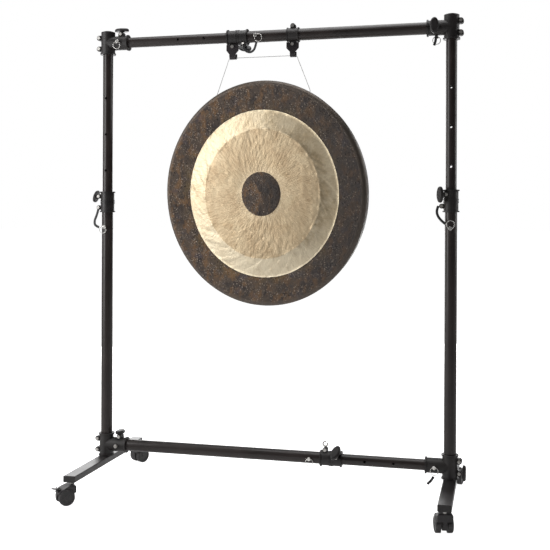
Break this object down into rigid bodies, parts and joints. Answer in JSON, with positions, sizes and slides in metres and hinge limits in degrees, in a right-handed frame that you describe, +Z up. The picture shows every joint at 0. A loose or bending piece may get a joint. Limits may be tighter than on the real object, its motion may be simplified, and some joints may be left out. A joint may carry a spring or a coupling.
{
  "type": "tam tam gong",
  "caption": "Tam tam gong hanging by a cord from two hooks in a wheeled tube stand that adjusts in height and width with split collars, wing knobs and lock pins.",
  "frame": {"origin": "on the floor, midway between the two posts and under the middle of the feet", "axes": "+X to the player's right along the bars, +Z up, the player stands at -Y"},
  "size_m": [1.2484, 0.6094, 1.5361],
  "materials": {
    "tube_black": "satin black powder coat",
    "casting_black": "matt black moulded nylon",
    "knob_black": "matt black moulded plastic",
    "fastener_steel": "zinc plated steel",
    "pin_nickel": "nickel plated steel",
    "hook_black": "black powder coat",
    "gong_bronze": "hammered bronze with dark oxide rings and a lathed gold ring",
    "line_cord": "pale nylon cord",
    "strap_rubber": "black rubber strap",
    "foot_black": "satin black powder coat",
    "cap_plastic": "matt black moulded plastic",
    "stem_steel": "zinc plated steel",
    "caster_plastic": "matt black moulded plastic",
    "wheel_tread": "black nylon wheels"
  },
  "bodies": {
    "lower_right": {"lower_right_post": "tube_black", "bottom_bar_thin_tube": "tube_black", "bottom_right_tee": "casting_black", "right_height_collar": "casting_black", "lower_right_fasteners": "fastener_steel", "bottom_right_pin": "pin_nickel", "right_foot_beam": "foot_black", "right_foot_caps": "cap_plastic", "right_caster_stems": "stem_steel", "bottom_right_strap": "strap_rubber", "right_height_tether": "strap_rubber"},
    "lower_left": {"lower_left_post": "tube_black", "bottom_bar_thick_tube": "tube_black", "bottom_left_tee": "casting_black", "bottom_width_collar": "casting_black", "left_height_collar": "casting_black", "lower_left_fasteners": "fastener_steel", "left_foot_beam": "foot_black", "left_foot_caps": "cap_plastic", "left_caster_stems": "stem_steel", "left_height_tether": "strap_rubber"},
    "upper_right": {"upper_right_post": "tube_black", "top_bar_thick_tube": "tube_black", "top_right_tee": "casting_black", "top_width_collar": "casting_black", "upper_right_fasteners": "fastener_steel", "right_hanger_clamp": "casting_black", "hanger_hooks": "hook_black", "top_right_strap": "strap_rubber", "top_width_tether": "strap_rubber"},
    "upper_left": {"upper_left_post": "tube_black", "top_bar_thin_tube": "tube_black", "top_left_tee": "casting_black", "upper_left_fasteners": "fastener_steel", "top_left_pin": "pin_nickel"},
    "suspension": {"hanging_line": "line_cord"},
    "gong": {"gong": "gong_bronze", "line_knots": "line_cord"},
    "bottom_left_knob": {"bottom_left_knob": "knob_black"},
    "bottom_right_knob": {"bottom_right_knob": "knob_black"},
    "top_left_knob": {"top_left_knob": "knob_black"},
    "top_right_knob": {"top_right_knob": "knob_black"},
    "left_height_knob": {"left_height_knob": "knob_black"},
    "right_height_knob": {"right_height_knob": "knob_black"},
    "top_width_knob": {"top_width_knob": "knob_black"},
    "bottom_width_knob": {"bottom_width_knob": "knob_black"},
    "left_height_pin": {"left_height_pin": "pin_nickel"},
    "right_height_pin": {"right_height_pin": "pin_nickel"},
    "top_width_pin": {"top_width_pin": "pin_nickel"},
    "bottom_width_pin": {"bottom_width_pin": "pin_nickel"},
    "left_front_caster": {"left_front_caster_hood": "caster_plastic"},
    "left_front_wheels": {"left_front_caster_wheels": "wheel_tread"},
    "left_front_brake": {"left_front_caster_brake": "caster_plastic"},
    "right_front_caster": {"right_front_caster_hood": "caster_plastic"},
    "right_front_wheels": {"right_front_caster_wheels": "wheel_tread"},
    "right_front_brake": {"right_front_caster_brake": "caster_plastic"},
    "left_rear_caster": {"left_rear_caster_hood": "caster_plastic"},
    "left_rear_wheels": {"left_rear_caster_wheels": "wheel_tread"},
    "right_rear_caster": {"right_rear_caster_hood": "caster_plastic"},
    "right_rear_wheels": {"right_rear_caster_wheels": "wheel_tread"}
  },
  "joints": [
    {"name": "width_slide", "type": "slide", "parent": "lower_right", "child": "lower_left", "axis": [-1, 0, 0], "range_m": [-0.1, 0.15]},
    {"name": "height_slide", "type": "slide", "parent": "lower_right", "child": "upper_right", "axis": [0, 0, 1], "range_m": [-0.4, 0.15]},
    {"name": "top_width_slide", "type": "slide", "parent": "upper_right", "child": "upper_left", "axis": [-1, 0, 0], "range_m": [-0.1, 0.15]},
    {"name": "gong_swing", "type": "hinge", "parent": "upper_right", "child": "suspension", "pos_m": [-0.032, 0, 1.4201], "axis": [1, 0, 0], "range_deg": [-20, 20]},
    {"name": "gong_twist", "type": "hinge", "parent": "suspension", "child": "gong", "pos_m": [-0.032, 0, 1.2945], "axis": [0, 0, 1], "range_deg": [-15, 15], "stiffness_Nm_per_rad": 3, "deforming": ["hanging_line"]},
    {"name": "bottom_left_knob_turn", "type": "hinge", "parent": "lower_left", "child": "bottom_left_knob", "pos_m": [-0.5245, 0, 0.127], "axis": [0, 0, 1], "continuous": true},
    {"name": "bottom_right_knob_turn", "type": "hinge", "parent": "lower_right", "child": "bottom_right_knob", "pos_m": [0.5745, 0, 0.1086], "axis": [1, 0, 0], "continuous": true},
    {"name": "top_left_knob_turn", "type": "hinge", "parent": "upper_left", "child": "top_left_knob", "pos_m": [-0.5245, 0, 1.487], "axis": [0, 0, 1], "continuous": true},
    {"name": "top_right_knob_turn", "type": "hinge", "parent": "upper_right", "child": "top_right_knob", "pos_m": [0.5245, 0, 1.487], "axis": [0, -1, 0], "continuous": true},
    {"name": "left_height_knob_turn", "type": "hinge", "parent": "lower_left", "child": "left_height_knob", "pos_m": [-0.5745, 0, 0.968], "axis": [-1, 0, 0], "continuous": true},
    {"name": "right_height_knob_turn", "type": "hinge", "parent": "lower_right", "child": "right_height_knob", "pos_m": [0.5745, 0, 0.968], "axis": [-0.766, -0.6428, 0], "continuous": true},
    {"name": "top_width_knob_turn", "type": "hinge", "parent": "upper_right", "child": "top_width_knob", "pos_m": [-0.0998, 0, 1.487], "axis": [0, 0.7071, -0.7071], "continuous": true},
    {"name": "bottom_width_knob_turn", "type": "hinge", "parent": "lower_left", "child": "bottom_width_knob", "pos_m": [0.2205, 0, 0.127], "axis": [0, -0.766, 0.6428], "continuous": true},
    {"name": "left_height_pin_pull", "type": "slide", "parent": "lower_left", "child": "left_height_pin", "axis": [0, -1, 0], "range_m": [0, 0.03], "deforming": ["left_height_tether"]},
    {"name": "right_height_pin_pull", "type": "slide", "parent": "lower_right", "child": "right_height_pin", "axis": [0, -1, 0], "range_m": [0, 0.03], "deforming": ["right_height_tether"]},
    {"name": "top_width_pin_pull", "type": "slide", "parent": "upper_right", "child": "top_width_pin", "axis": [0, -1, 0], "range_m": [0, 0.03], "deforming": ["top_width_tether"]},
    {"name": "bottom_width_pin_pull", "type": "slide", "parent": "lower_left", "child": "bottom_width_pin", "axis": [0, -1, 0], "range_m": [0, 0.03]},
    {"name": "left_front_swivel", "type": "hinge", "parent": "lower_left", "child": "left_front_caster", "pos_m": [-0.5745, -0.259, 0.05], "axis": [0, 0, 1], "continuous": true},
    {"name": "left_front_wheel_roll", "type": "hinge", "parent": "left_front_caster", "child": "left_front_wheels", "pos_m": [-0.58922, -0.27254, 0.025], "axis": [0.6769, -0.7361, 0], "continuous": true},
    {"name": "left_front_brake_tilt", "type": "hinge", "parent": "left_front_caster", "child": "left_front_brake", "pos_m": [-0.60762, -0.28946, 0.05], "axis": [0.6769, -0.7361, 0], "range_deg": [-4, 24]},
    {"name": "right_front_swivel", "type": "hinge", "parent": "lower_right", "child": "right_front_caster", "pos_m": [0.5745, -0.259, 0.05], "axis": [0, 0, 1], "continuous": true},
    {"name": "right_front_wheel_roll", "type": "hinge", "parent": "right_front_caster", "child": "right_front_wheels", "pos_m": [0.56966, -0.23959, 0.025], "axis": [-0.9703, -0.2419, 0], "continuous": true},
    {"name": "right_front_brake_tilt", "type": "hinge", "parent": "right_front_caster", "child": "right_front_brake", "pos_m": [0.56361, -0.21534, 0.05], "axis": [-0.9703, -0.2419, 0], "range_deg": [-4, 24]},
    {"name": "left_rear_swivel", "type": "hinge", "parent": "lower_left", "child": "left_rear_caster", "pos_m": [-0.5745, 0.251, 0.05], "axis": [0, 0, 1], "continuous": true},
    {"name": "left_rear_wheel_roll", "type": "hinge", "parent": "left_rear_caster", "child": "left_rear_wheels", "pos_m": [-0.56511, 0.26866, 0.025], "axis": [-0.8829, 0.4695, 0], "continuous": true},
    {"name": "right_rear_swivel", "type": "hinge", "parent": "lower_right", "child": "right_rear_caster", "pos_m": [0.5745, 0.251, 0.05], "axis": [0, 0, 1], "continuous": true},
    {"name": "right_rear_wheel_roll", "type": "hinge", "parent": "right_rear_caster", "child": "right_rear_wheels", "pos_m": [0.57797, 0.2707, 0.025], "axis": [-0.9848, 0.1736, 0], "continuous": true}
  ],
  "couplings": [
    {"joint": "top_width_slide", "follows": "width_slide", "ratio": 1}
  ]
}
